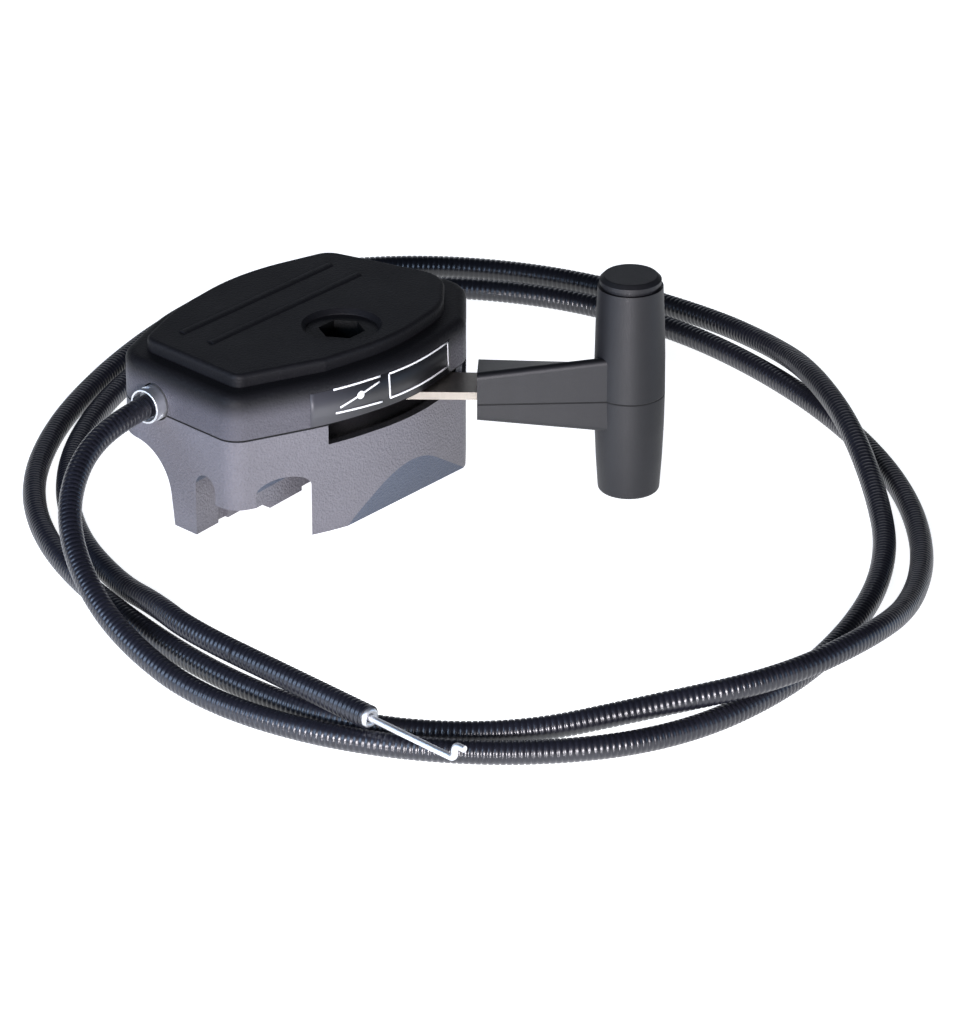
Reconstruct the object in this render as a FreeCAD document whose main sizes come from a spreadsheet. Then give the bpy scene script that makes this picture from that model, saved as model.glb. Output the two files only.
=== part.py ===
import FreeCAD, Part
import math
import os
import Sketcher

# Throttle and choke control for a garden machine: a two-part case that bolts on
# top of a handlebar tube, a steel lever with a T grip, and a coiled push-pull cable.
#
# Frame: the origin is on the bolt's axis, at the seat that rests on the handlebar.
# +Z runs up the bolt, +X along the case away from the cable outlet, and +Y towards
# the side where the cable leaves the case. The handlebar runs a few degrees off X.

V = FreeCAD.Vector
UP = V(0, 0, 1)
doc = FreeCAD.newDocument("ThrottleControl")

SIZES = [
    ("case_length", 92.0, "case, end to end along the handlebar"),
    ("case_width", 65.0, "case, side to side"),
    ("seat_drop", 8.3, "how far the side walls reach below the seat"),
    ("channel_width", 22.8, "gap between the side walls, for a 22 mm tube"),
    ("channel_turn", 3.3, "handlebar's direction from the case's length, seen from above"),
    ("rib_width", 9.0, "seat rib between the two slots"),
    ("slot_top", 8.7, "top of the slots beside the seat rib"),
    ("floor_top", 13.9, "floor of the space inside"),
    ("window_sill", 15.1, "lower edge of the lever's window"),
    ("seam", 20.4, "joint between lower housing and cover"),
    ("shelf", 32.2, "top of the cover's rim"),
    ("roof", 2.0, "thickness of the cover's rim"),
    ("panel_rise", 3.3, "raised panel above the rim"),
    ("panel_inset", 5.4, "rim left around the panel"),
    ("case_wall", 2.4, "wall of both mouldings"),
    ("recess_width", 20.6, "round recess about the bolt"),
    ("recess_depth", 1.3, "depth of that recess"),
    ("nut_flats", 10.2, "hexagon socket, across flats"),
    ("nut_depth", 5.4, "hexagon socket, depth"),
    ("bolt_hole", 6.6, "bore for the M6 bolt"),
    ("bush_outer", 10.0, "steel bush, outside"),
    ("running_gap", 0.05, "clearance of a turning fit"),
    ("seat_gap", 0.03, "clearance of a still fit"),
    ("washer_height", 1.0, "nylon washer"),
    ("blade_level", 18.1, "underside of the lever blade"),
    ("blade_thickness", 2.0, "lever blade"),
    ("blade_width", 12.0, "lever blade, across"),
    ("lever_reach", 71.0, "pivot to the grip's axis"),
    ("lever_rest", -51.2, "rest direction of the lever from +X"),
    ("crank_angle", 174.0, "crank arm from the lever's direction"),
    ("crank_reach", 18.0, "pivot to the wire's hole"),
    ("wire_thickness", 1.6, "inner wire"),
    ("wire_hole", 2.2, "hole for the wire"),
    ("grip_bottom", -8.2, "lower end of the T grip"),
    ("grip_top", 49.5, "upper end of the T grip"),
    ("grip_middle", 17.6, "T grip, diameter at its middle"),
    ("grip_neck", 15.9, "T grip, diameter under the cap"),
    ("grip_foot", 15.3, "T grip, diameter at the foot"),
    ("arm_start", 33.5, "pivot to the grip's arm"),
    ("outlet_side", 23.0, "cable outlet from the bolt's axis"),
    ("outlet_level", 22.9, "cable outlet above the seat"),
    ("ferrule_outer", 8.8, "cable ferrule"),
    ("conduit_outer", 5.8, "cable conduit"),
    ("end_sleeve_length", 45.5, "straight last length of the conduit"),
    ("wire_out", 27.5, "wire standing out of the conduit"),
]

sheet = doc.addObject("Spreadsheet::Sheet", "sizes")
for row, (name, value, note) in enumerate(SIZES, 1):
    sheet.set("A%d" % row, name)
    sheet.set("B%d" % row, str(value))
    sheet.set("C%d" % row, note)
    sheet.setAlias("B%d" % row, name)
doc.recompute()


def size(name):
    return float(sheet.get(name))


# The case was drawn 92 by 65; both directions stretch with the sheet.
along = size("case_length") / 92.0
across = size("case_width") / 65.0


def stretched(corners):
    return [(x * along, y * across, radius) for x, y, radius in corners]


CASE_OUTLINE = stretched([
    (-45.6, -4.2, 6.0),
    (-20.0, -15.9, 70.0),
    (3.0, -20.4, 60.0),
    (28.0, -16.2, 7.0),
    (46.3, -1.2, 9.0),
    (37.5, 37.5, 8.0),
    (8.0, 47.0, 60.0),
    (-20.0, 43.8, 60.0),
    (-42.1, 36.0, 10.0),
])
PANEL_RADII = [3.0, 3.0, 60.0, 20.0, 10.0, 6.0, 60.0, 60.0, 5.0]
# Place of each case screw, and the level its head sits against.
SCREWS = [(-33.0 * along, 7.95, 11.4), (27.0 * along, -7.95, 11.4), (8.0, 35.5 * across, 13.4)]


# ---- drawing helpers -------------------------------------------------------

def flat(corner):
    return V(corner[0], corner[1], 0)


def sides_of(corners):
    """Straight sides and tangent corner arcs of a closed outline of (x, y, radius)."""
    count = len(corners)
    joins = []
    for i, corner in enumerate(corners):
        here = flat(corner)
        back = (flat(corners[i - 1]) - here).normalize()
        ahead = (flat(corners[(i + 1) % count]) - here).normalize()
        radius = corner[2]
        if radius <= 0:
            joins.append((here, None, here))
            continue
        half = back.getAngle(ahead) / 2
        middle = (back + ahead).normalize()
        centre = here + middle * (radius / math.sin(half))
        reach = radius / math.tan(half)
        joins.append((here + back * reach, centre - middle * radius, here + ahead * reach))
    edges = []
    for i, (start, crown, end) in enumerate(joins):
        if crown is not None:
            edges.append(Part.Arc(start, crown, end))
        edges.append(Part.LineSegment(end, joins[(i + 1) % count][0]))
    return edges


def inset(corners, depth, radii=None):
    """The same convex outline, drawn that much further in, its corners as given or tighter."""
    moved = []
    count = len(corners)
    for i, corner in enumerate(corners):
        here = flat(corner)
        back = (here - flat(corners[i - 1])).normalize()
        ahead = (flat(corners[(i + 1) % count]) - here).normalize()
        bisector = (V(-back.y, back.x, 0) + V(-ahead.y, ahead.x, 0)).normalize()
        shift = depth / bisector.dot(V(-ahead.y, ahead.x, 0))
        point = here + bisector * shift
        radius = radii[i] if radii else max(corner[2] - depth, 0.8)
        moved.append((point.x, point.y, radius))
    return moved


def rectangle(left, right, low, high, radius=0.0):
    return [(left, low, radius), (right, low, radius), (right, high, radius), (left, high, radius)]


def new_body(name):
    body = doc.addObject("PartDesign::Body", name)
    body.Label = name
    return body


def new_sketch(body, name, plane, level=None):
    sketch = body.newObject("Sketcher::SketchObject", name)
    planes = [feature for feature in body.Origin.OriginFeatures if feature.Role == plane]
    sketch.AttachmentSupport = (planes[0], [""])
    sketch.MapMode = "FlatFace"
    if level is not None:
        sketch.setExpression("AttachmentOffset.Base.z", level)
    return sketch


def draw(sketch, corners):
    """One closed outline, its ends joined by coincidence."""
    first = sketch.GeometryCount
    edges = sides_of(corners)
    sketch.addGeometry(edges, False)
    count = len(edges)
    for i in range(count):
        one = first + i
        other = first + (i + 1) % count
        for end in (1, 2):
            for start in (1, 2):
                if sketch.getPoint(one, end).distanceToPoint(sketch.getPoint(other, start)) < 1e-7:
                    sketch.addConstraint(Sketcher.Constraint("Coincident", one, end, other, start))


def draw_circle(sketch, x, y, diameter):
    """A circle whose diameter follows a formula."""
    index = sketch.addGeometry(Part.Circle(V(x, y, 0), UP, 1.0), False)
    spot = sketch.addConstraint(Sketcher.Constraint("Diameter", index, 2.0))
    sketch.setExpression("Constraints[%d]" % spot, diameter)


def grow(body, name, sketch, length, reverse=False):
    feature = body.newObject("PartDesign::Pad", name)
    feature.Profile = sketch
    feature.setExpression("Length", length)
    feature.Reversed = reverse
    return feature


def cut(body, name, sketch, length, reverse=False):
    feature = body.newObject("PartDesign::Pocket", name)
    feature.Profile = sketch
    feature.setExpression("Length", length)
    feature.Reversed = reverse
    return feature


def spin(body, name, sketch, kind="PartDesign::Revolution"):
    """Turns a half profile about the sketch's own vertical axis."""
    feature = body.newObject(kind, name)
    feature.Profile = sketch
    feature.ReferenceAxis = (sketch, ["V_Axis"])
    feature.Angle = 360.0
    return feature


def edges_at(shape, level, longest=1000.0):
    """Names of the edges that lie flat at one height."""
    names = []
    for i, edge in enumerate(shape.Edges, 1):
        box = edge.BoundBox
        if abs(box.ZMin - level) < 1e-4 and abs(box.ZMax - level) < 1e-4 and edge.Length < longest:
            names.append("Edge%d" % i)
    return names


def soften(body, name, base, edges, radius, kind="PartDesign::Fillet"):
    feature = body.newObject(kind, name)
    feature.Base = (base, edges)
    if kind == "PartDesign::Fillet":
        feature.Radius = radius
    else:
        feature.Size = radius
    doc.recompute()
    return feature


def ring(name, inner, outer, bottom, height):
    """A plain ring on the bolt's axis, its four sizes given as formulas."""
    body = new_body(name)
    sketch = new_sketch(body, name + "_face", "XY_Plane", bottom)
    draw_circle(sketch, 0, 0, outer)
    draw_circle(sketch, 0, 0, inner)
    grow(body, name + "_height", sketch, height)
    return body


def turned(name, half_profile, axis_x=0.0):
    """A body turned about a vertical axis at x = axis_x."""
    body = new_body(name)
    sketch = new_sketch(body, name + "_profile", "XZ_Plane")
    sketch.AttachmentOffset = FreeCAD.Placement(V(axis_x, 0, 0), FreeCAD.Rotation())
    draw(sketch, half_profile)
    spin(body, name + "_turn", sketch)
    return body


# ---- the case --------------------------------------------------------------

def through_cut(body, name, corners, turn=0.0):
    """Cuts a profile drawn in Y and Z right along the case, turned about the bolt's axis."""
    sketch = new_sketch(body, name + "_profile", "YZ_Plane")
    swing = FreeCAD.Rotation(V(0, 1, 0), turn)
    sketch.AttachmentOffset = FreeCAD.Placement(swing.multVec(V(0, 0, -70)), swing)
    draw(sketch, corners)
    return cut(body, name, sketch, "140", True)


def lower_housing():
    body = new_body("lower_housing")
    outline = new_sketch(body, "housing_outline", "XY_Plane", "-sizes.seat_drop")
    draw(outline, CASE_OUTLINE)
    grow(body, "housing_block", outline, "sizes.seam + sizes.seat_drop")

    hollow = new_sketch(body, "housing_hollow_outline", "XY_Plane", "sizes.seam")
    draw(hollow, inset(CASE_OUTLINE, size("case_wall")))
    cut(body, "housing_hollow", hollow, "sizes.seam - sizes.floor_top")

    half = size("channel_width") / 2
    below = -size("seat_drop") - 4
    turn = size("channel_turn")
    through_cut(body, "handlebar_channel", rectangle(-half, half, below, 0), turn)
    rib = size("rib_width") / 2
    crown = (half - rib) / 2 - 0.01
    top = size("slot_top")
    for side, name in ((1, "slot_left"), (-1, "slot_right")):
        corners = [(side * rib, -1, 0), (side * half, -1, 0)]
        corners += [(side * half, top, crown), (side * rib, top, crown)]
        through_cut(body, name, corners, turn)

    # The side away from the lever sweeps in under the cover to the left wall.
    foot = half + 5.2
    sweep = [(foot - 0.5, below, 0), (foot + 2.6, 10.6, 13.0)]
    sweep += [(foot + 60.0, 13.0, 0), (foot + 60.0, below, 0)]
    through_cut(body, "side_sweep", sweep)

    # The right wall is trimmed flat at its foot, leaning in by about 15 degrees.
    lean = 0.27
    edge = -16.3 * across
    low = below
    high = size("seam") + 1
    lean_cut = [(edge - lean * (low + size("seat_drop")), low, 0), (-70, low, 0)]
    lean_cut += [(-70, high, 0), (edge - lean * (high + size("seat_drop")), high, 0)]
    through_cut(body, "foot_facet", lean_cut)

    # Along the seat rib: two shallow reliefs beside the bolt, and a raised end.
    relief = new_sketch(body, "seat_relief_outline", "XY_Plane", "1.1")
    draw(relief, rectangle(-22.0 * along, -9.5, -rib - 1.6, rib + 1.6))
    draw(relief, rectangle(9.5, 24.0 * along, -rib - 1.6, rib + 1.6))
    cut(body, "seat_relief", relief, "3")
    raised_end = new_sketch(body, "rib_end_outline", "XY_Plane", "2")
    draw(raised_end, rectangle(-60.0 * along, -34.5 * along, -rib - 2.6, rib + 0.4))
    cut(body, "rib_end_relief", raised_end, "4")
    groove = new_sketch(body, "wall_groove_outline", "XY_Plane", "6")
    wall = half - 34.2 * along * math.tan(math.radians(turn))
    draw(groove, rectangle(-36.0 * along, -32.3 * along, wall - 1, wall + 1.1))
    cut(body, "wall_groove", groove, "6 + sizes.seat_drop + 1")

    window = new_sketch(body, "window_outline", "XY_Plane", "sizes.seam")
    left = -22.0 * along
    right = 31.5 * along
    inner = -12.2 * across
    reach = -7.5 * across
    draw(window, [(left, -60, 0), (80, -60, 0), (80, reach, 0), (right + 3, reach, 0),
                  (right, inner, 0), (left, inner, 0)])
    cut(body, "lever_window", window, "sizes.seam - sizes.window_sill")

    boss = new_sketch(body, "bolt_boss_outline", "XY_Plane", "0")
    draw_circle(boss, 0, 0, "sizes.bush_outer + 6.4")
    grow(body, "bolt_boss", boss, "sizes.blade_level - sizes.running_gap - sizes.washer_height")
    post = new_sketch(body, "screw_posts_outline", "XY_Plane", "sizes.floor_top - 0.5")
    for x, y, seat in SCREWS:
        draw_circle(post, x, y, "6.6")
    grow(body, "screw_posts", post, "sizes.seam - sizes.floor_top + 0.5")
    block = new_sketch(body, "ferrule_block_outline", "XY_Plane", "sizes.floor_top - 0.5")
    side = size("outlet_side") * across
    draw(block, rectangle(-38.0 * along, -33.4 * along, side - 6, side + 6))
    grow(body, "ferrule_block", block, "sizes.seam - sizes.floor_top + 0.5")

    bore = new_sketch(body, "bush_bore_outline", "XY_Plane", "sizes.seam")
    draw_circle(bore, 0, 0, "sizes.bush_outer + 2 * sizes.seat_gap")
    cut(body, "bush_bore", bore, "sizes.seam + 1")
    holes = new_sketch(body, "screw_holes_outline", "XY_Plane", "sizes.seam")
    for x, y, seat in SCREWS:
        draw_circle(holes, x, y, "3.4")
    cut(body, "screw_holes", holes, "sizes.seam")
    for i, (x, y, seat) in enumerate(SCREWS, 1):
        head = new_sketch(body, "screw_head_outline_%d" % i, "XY_Plane", "%g" % seat)
        draw_circle(head, x, y, "6.2")
        cut(body, "screw_head_hole_%d" % i, head, "8")
    outlet_holes(body)
    return body


def outlet_holes(body):
    """The hole in the end wall and the narrower seat of the ferrule's nose behind it."""
    side = size("outlet_side") * across
    outlet = new_sketch(body, "outlet_outline_" + body.Name, "YZ_Plane", "-70")
    draw_circle(outlet, side, size("outlet_level"), "sizes.ferrule_outer + 0.8")
    cut(body, "outlet_" + body.Name, outlet, "%g" % (70 - 39.4 * along), True)
    nose = new_sketch(body, "nose_outline_" + body.Name, "YZ_Plane", "-70")
    draw_circle(nose, side, size("outlet_level"), "6.7")
    cut(body, "nose_" + body.Name, nose, "%g" % (70 - 33.0 * along), True)


def top_cover():
    body = new_body("top_cover")
    outline = new_sketch(body, "cover_outline", "XY_Plane", "sizes.seam")
    draw(outline, CASE_OUTLINE)
    block = grow(body, "cover_block", outline, "sizes.shelf - sizes.seam")
    doc.recompute()
    rim = soften(body, "cover_rim", block, edges_at(block.Shape, size("shelf")), 2.6)
    raised = new_sketch(body, "panel_outline", "XY_Plane", "sizes.shelf - 0.5")
    draw(raised, inset(CASE_OUTLINE, size("panel_inset"), PANEL_RADII))
    panel = grow(body, "panel_block", raised, "sizes.panel_rise + 0.5")
    doc.recompute()
    top = size("shelf") + size("panel_rise")
    soften(body, "panel_rim", panel, edges_at(panel.Shape, top), 1.2)

    hollow = new_sketch(body, "cover_hollow_outline", "XY_Plane", "sizes.shelf - sizes.roof")
    draw(hollow, inset(CASE_OUTLINE, size("case_wall")))
    cut(body, "cover_hollow", hollow, "sizes.shelf - sizes.roof - sizes.seam")

    beads = new_sketch(body, "beads_outline", "YZ_Plane", "%g" % (-29.0 * along))
    for y in (17.2, 26.6):
        draw_circle(beads, y * across, top - 1.9, "4.6")
    grow(body, "beads", beads, "%g" % (55.0 * along))

    recess = new_sketch(body, "recess_outline", "XY_Plane", "sizes.shelf + sizes.panel_rise + 0.01")
    draw_circle(recess, 0, 0, "sizes.recess_width - 2.6")
    dish = cut(body, "recess", recess, "sizes.recess_depth + 0.01")
    doc.recompute()
    around = math.pi * (size("recess_width") - 2.6)
    rim_edges = [name for name in edges_at(dish.Shape, top, around + 0.1)
                 if dish.Shape.getElement(name).Length > around - 0.1]
    soften(body, "recess_bevel", dish, rim_edges, 1.0, "PartDesign::Chamfer")

    boss = new_sketch(body, "cover_boss_outline", "XY_Plane", "24.4")
    draw_circle(boss, 0, 0, "sizes.bush_outer + 6")
    grow(body, "cover_boss", boss, "sizes.shelf - sizes.roof - 24.4 + 0.5")
    posts = new_sketch(body, "cover_posts_outline", "XY_Plane", "sizes.seam")
    for x, y, seat in SCREWS:
        draw_circle(posts, x, y, "6.6")
    grow(body, "cover_posts", posts, "sizes.shelf - sizes.roof - sizes.seam + 0.5")
    block = new_sketch(body, "cover_block_outline", "XY_Plane", "sizes.seam")
    side = size("outlet_side") * across
    draw(block, rectangle(-38.0 * along, -33.4 * along, side - 6, side + 6))
    grow(body, "ferrule_cap", block, "sizes.shelf - sizes.roof - sizes.seam + 0.5")

    socket = new_sketch(body, "nut_outline", "XY_Plane",
                        "sizes.shelf + sizes.panel_rise - sizes.recess_depth + 0.01")
    corner = size("nut_flats") / math.sqrt(3)
    hexagon = []
    for i in range(6):
        turn = math.radians(60 * i)
        hexagon.append((corner * math.cos(turn), corner * math.sin(turn), 0.3))
    draw(socket, hexagon)
    cut(body, "nut_socket", socket, "sizes.nut_depth + 0.01")
    bore = new_sketch(body, "cover_bore_outline", "XY_Plane", "24")
    draw_circle(bore, 0, 0, "sizes.bush_outer + 2 * sizes.seat_gap")
    cut(body, "cover_bore", bore, "6", True)
    pilots = new_sketch(body, "pilot_outline", "XY_Plane", "sizes.seam - 1")
    for x, y, seat in SCREWS:
        draw_circle(pilots, x, y, "2.6")
    cut(body, "pilots", pilots, "9", True)
    outlet_holes(body)
    return body


def screw(name, x, y, seat, head, shank, length):
    """A self-tapping screw driven upwards, its head's bearing face at one level."""
    top = doc.addObject("Part::Cylinder", name + "_shank")
    top.Radius = shank / 2
    top.setExpression("Height", length)
    top.Placement.Base = V(x, y, seat)
    bottom = doc.addObject("Part::Cylinder", name + "_head")
    bottom.Radius = head / 2
    bottom.Height = 1.9
    bottom.Placement.Base = V(x, y, seat - 1.9)
    drive = doc.addObject("Part::Prism", name + "_drive")
    drive.Polygon = 6
    drive.Circumradius = head / 4
    drive.Height = 1.0
    drive.Placement.Base = V(x, y, seat - 1.9)
    blank = doc.addObject("Part::Fuse", name + "_blank")
    blank.Base = bottom
    blank.Tool = top
    whole = doc.addObject("Part::Cut", name)
    whole.Base = blank
    whole.Tool = drive
    return whole


def case_screws():
    """Self-tapping screws that hold the two mouldings together."""
    return [screw("case_screw_%d" % i, x, y, seat, 5.6, 2.6, "sizes.seam + 7.5 - %g" % seat)
            for i, (x, y, seat) in enumerate(SCREWS, 1)]


# ---- the pivot stack -------------------------------------------------------

def pivot_stack():
    stack_bottom = "sizes.blade_level - sizes.running_gap - sizes.washer_height"
    above = "sizes.blade_level + sizes.blade_thickness + sizes.running_gap"
    snug = "sizes.bush_outer + 2 * sizes.seat_gap"
    nut_floor = "(sizes.shelf + sizes.panel_rise - sizes.recess_depth - sizes.nut_depth)"
    return [
        ring("pivot_bush", "sizes.bolt_hole", "sizes.bush_outer", "0", nut_floor),
        ring("friction_washer_lower", snug, "sizes.bush_outer + 8", stack_bottom,
             "sizes.washer_height"),
        ring("friction_washer_upper", snug, "sizes.bush_outer + 8", above, "sizes.washer_height"),
        wave_spring(size("blade_level") + size("blade_thickness") + size("running_gap")
                    + size("washer_height")),
        ring("retaining_washer", snug, "sizes.bush_outer + 6", above + " + sizes.washer_height + 1.8",
             "24.4 - (" + above + " + sizes.washer_height + 1.8)"),
    ]


def wave_spring(bottom):
    """A wavy steel ring that presses the washers on the lever: three waves of bent strip."""
    inner = size("bush_outer") / 2 + 0.4
    outer = inner + 2.6
    strip = 0.35
    height = 1.8
    corners = 36
    rings = []
    for radius in (inner, outer):
        for level in (0.0, strip):
            points = []
            for i in range(corners):
                turn = 2 * math.pi * i / corners
                rise = (height - strip) / 2 * (1 - math.cos(3 * turn))
                points.append(V(radius * math.cos(turn), radius * math.sin(turn),
                                bottom + rise + level))
            curve = Part.BSplineCurve()
            curve.interpolate(points, PeriodicFlag=True)
            rings.append(Part.Wire(curve.toShape()))
    inside_low, inside_high, outside_low, outside_high = rings
    faces = [Part.makeRuledSurface(inside_low, outside_low),
             Part.makeRuledSurface(inside_high, outside_high),
             Part.makeRuledSurface(inside_low, inside_high),
             Part.makeRuledSurface(outside_low, outside_high)]
    shell = Part.makeShell([face for surface in faces for face in surface.Faces])
    shell.sewShape()
    solid = Part.makeSolid(shell)
    if solid.Volume < 0:
        solid.reverse()
    spring = doc.addObject("Part::Feature", "wave_spring")
    spring.Shape = solid
    return spring


# ---- the lever and its grip ------------------------------------------------

REST = FreeCAD.Placement(V(0, 0, 0), FreeCAD.Rotation(UP, size("lever_rest")))
SCREW_REACHES = (41.0, 54.0)


def strip_corners(start, end, width, heading, radius):
    """A straight strip from one reach to another, at a heading about the pivot."""
    turn = math.radians(heading)
    corners = []
    for reach, side, bend in ((start, -1, 0.5), (end, -1, radius), (end, 1, radius), (start, 1, 0.5)):
        offset = side * width / 2
        x = reach * math.cos(turn) - offset * math.sin(turn)
        y = reach * math.sin(turn) + offset * math.cos(turn)
        corners.append((x, y, bend))
    return corners


def lever_blade():
    body = new_body("lever_blade")
    strip = new_sketch(body, "blade_outline", "XY_Plane", "sizes.blade_level")
    draw(strip, strip_corners(0, size("lever_reach") - 5, size("blade_width"), 0, 1.5))
    grow(body, "blade", strip, "sizes.blade_thickness")
    hub = new_sketch(body, "hub_outline", "XY_Plane", "sizes.blade_level")
    draw_circle(hub, 0, 0, "sizes.bush_outer + 12")
    grow(body, "hub", hub, "sizes.blade_thickness")
    crank = new_sketch(body, "crank_outline", "XY_Plane", "sizes.blade_level")
    draw(crank, strip_corners(0, size("crank_reach") + 4.5, 10.0, size("crank_angle"), 4.0))
    grow(body, "crank", crank, "sizes.blade_thickness")
    bore = new_sketch(body, "blade_bore_outline", "XY_Plane",
                      "sizes.blade_level + sizes.blade_thickness")
    draw_circle(bore, 0, 0, "sizes.bush_outer + 2 * sizes.running_gap")
    cut(body, "blade_bore", bore, "sizes.blade_thickness")
    holes = new_sketch(body, "blade_holes_outline", "XY_Plane",
                       "sizes.blade_level + sizes.blade_thickness")
    turn = math.radians(size("crank_angle"))
    reach = size("crank_reach")
    draw_circle(holes, reach * math.cos(turn), reach * math.sin(turn), "sizes.wire_hole")
    for reach in SCREW_REACHES:
        draw_circle(holes, reach, 0, "3.2")
    cut(body, "blade_holes", holes, "sizes.blade_thickness")
    return body


def grip_radius(level):
    """The T grip swells from both ends to its middle."""
    middle = (size("grip_top") + size("grip_bottom")) / 2
    half = (size("grip_top") - size("grip_bottom")) / 2
    end = size("grip_neck") if level > middle else size("grip_foot")
    fraction = abs(level - middle) / half
    return (size("grip_middle") - (size("grip_middle") - end) * fraction ** 2) / 2


def grip_half(low, high, step=3):
    """Outer half profile of the grip between two heights, as outline corners."""
    corners = []
    for i in range(step + 1):
        level = low + (high - low) * i / step
        corners.append((grip_radius(level), level, 60.0 if 0 < i < step else 0.0))
    return corners


def arm_section(body, name, reach, half_width, front, back, radius=1.5):
    """Half of the arm's section at one reach: its two heights are signed from the parting level."""
    sketch = new_sketch(body, name, "YZ_Plane", "%g" % reach)
    split = size("blade_level")
    corners = [(-half_width, split, 0), (half_width, split, 0),
               (half_width, split + back, radius), (-half_width, split + front, radius)]
    if front < 0:
        corners.reverse()
    draw(sketch, corners)
    return sketch


def grip_shell(name, low, high, near_front, far_front, back, end_level):
    """One half of the T grip: half of the bar, half of the arm, and the blade's pocket."""
    reach = size("lever_reach")
    body = new_body(name)
    bar = new_sketch(body, name + "_bar_profile", "XZ_Plane")
    bar.AttachmentOffset = FreeCAD.Placement(V(reach, 0, 0), FreeCAD.Rotation())
    profile = [(0, low, 0)] + grip_half(low, high) + [(0, high, 0)]
    if end_level < size("blade_level"):
        profile[1] = (profile[1][0], profile[1][1], 1.0)
    draw(bar, profile)
    spin(body, name + "_bar", bar)
    far = reach - 3.0
    loft = body.newObject("PartDesign::AdditiveLoft", name + "_arm")
    loft.Profile = arm_section(body, name + "_near", size("arm_start"), 9.0, near_front, back)
    loft.Sections = [arm_section(body, name + "_far", far, 6.6, far_front, back)]
    loft.Ruled = True
    core = new_sketch(body, name + "_core_outline", "XY_Plane", "%g" % end_level)
    draw_circle(core, reach, 0, "10.4")
    core_end = size("blade_level")
    cut(body, name + "_core", core, "%g" % abs(core_end - end_level), end_level < core_end)
    return body


def handle_shells():
    split = size("blade_level")
    thick = size("blade_thickness")
    reach = size("lever_reach")
    upper = grip_shell("handle_upper_shell", split, size("grip_top") - 2.8, 8.4, 12.9, 4.5,
                       size("grip_top") - 2.8)
    pocket = new_sketch(upper, "blade_pocket_outline", "XY_Plane",
                        "sizes.blade_level + sizes.blade_thickness")
    draw(pocket, rectangle(size("arm_start") - 1, reach - 5, -size("blade_width") / 2,
                           size("blade_width") / 2))
    cut(upper, "blade_pocket", pocket, "sizes.blade_thickness")
    pilots = new_sketch(upper, "grip_pilot_outline", "XY_Plane", "sizes.blade_level")
    for spot in SCREW_REACHES:
        draw_circle(pilots, spot, 0, "2.4")
    cut(upper, "grip_pilots", pilots, "%g" % (thick + 3.4), True)

    lower = grip_shell("handle_lower_shell", size("grip_bottom"), split, -4.6, -9.3, -4.5,
                       size("grip_bottom") + 2.0)
    holes = new_sketch(lower, "grip_hole_outline", "XY_Plane", "sizes.blade_level")
    for spot in SCREW_REACHES:
        draw_circle(holes, spot, 0, "3.2")
    cut(lower, "grip_holes", holes, "14")
    heads = new_sketch(lower, "grip_head_outline", "XY_Plane", "sizes.blade_level - 2.6")
    for spot in SCREW_REACHES:
        draw_circle(heads, spot, 0, "5.6")
    cut(lower, "grip_heads", heads, "12")
    return [upper, lower]


def handle_cap():
    """Push-in cap of the T grip: plug, narrow neck and a bevelled disc."""
    top = size("grip_top")
    neck = size("grip_neck") / 2
    profile = [(0, top - 8.0, 0), (5.17, top - 8.0, 0.5), (5.17, top - 2.8, 0), (neck - 0.75, top - 2.8, 0),
               (neck - 0.75, top - 2.0, 0), (neck - 0.3, top - 2.0, 0), (neck - 0.3, top - 1.0, 0.2),
               (neck - 1.3, top, 0.3), (0, top, 0)]
    return turned("handle_cap", profile, size("lever_reach"))


def handle_screws():
    seat = size("blade_level") - 2.6
    return [screw("handle_screw_%d" % i, reach, 0, seat, 5.0, 2.4, "2.6 + sizes.blade_thickness + 3")
            for i, reach in enumerate(SCREW_REACHES, 1)]


# ---- the cable -------------------------------------------------------------

def path_of(points, bend=None):
    """Straight runs joined by tangent arcs; returns the wire and the arc radii."""
    joins = [(points[0], None, points[0])]
    radii = []
    for before, here, after in zip(points, points[1:], points[2:]):
        back = (before - here)
        ahead = (after - here)
        shorter = min(back.Length, ahead.Length)
        turn = math.pi - back.getAngle(ahead)
        back.normalize()
        ahead.normalize()
        radius = bend or 0.45 * shorter / math.tan(turn / 2)
        reach = radius * math.tan(turn / 2)
        middle = (back + ahead).normalize()
        centre = here + middle * (radius / math.cos(turn / 2))
        joins.append((here + back * reach, centre - middle * radius, here + ahead * reach))
        radii.append(radius)
    joins.append((points[-1], None, points[-1]))
    edges = []
    for i, (start, crown, end) in enumerate(joins):
        if crown is not None:
            edges.append(Part.Arc(start, crown, end).toShape())
        if i + 1 < len(joins):
            edges.append(Part.LineSegment(end, joins[i + 1][0]).toShape())
    return Part.Wire(edges), radii


def tube(name, points, diameter, bend=None):
    """A round bar along a route."""
    path, radii = path_of(points, bend)
    start = (points[1] - points[0]).normalize()
    section = Part.Wire(Part.Circle(points[0], start, diameter / 2).toShape())
    solid = path.makePipeShell([section], True, False)
    expected = math.pi * diameter ** 2 / 4 * path.Length
    print("%s: length %.1f, least radius %.1f, volume %.3f of section x length"
          % (name, path.Length, min(radii), solid.Volume / expected))
    feature = doc.addObject("Part::Feature", name)
    feature.Shape = solid
    return feature


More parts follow.
